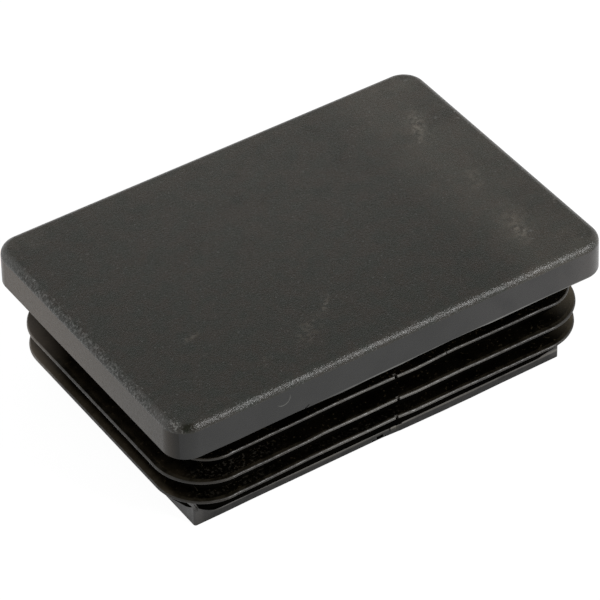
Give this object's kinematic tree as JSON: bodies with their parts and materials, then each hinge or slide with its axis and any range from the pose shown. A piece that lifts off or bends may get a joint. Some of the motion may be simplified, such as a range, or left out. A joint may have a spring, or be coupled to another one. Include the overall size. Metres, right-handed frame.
{
  "type": "tube end cap",
  "caption": "Rectangular push-in end cap for a hollow tube: rounded head plate over a hollow insert ringed by saw-tooth gripping fins.",
  "frame": {"origin": "middle of the open end of the insert, on the plane that it stands on", "axes": "+X along the long side, +Y along the short side, +Z from the open end up to the head's top face"},
  "size_m": [0.0602, 0.0412, 0.0192],
  "materials": {
    "black_plastic": "black moulded plastic, finely grained head, satin sides and fins"
  },
  "bodies": {
    "root": {"end_cap": "black_plastic"}
  },
  "joints": []
}
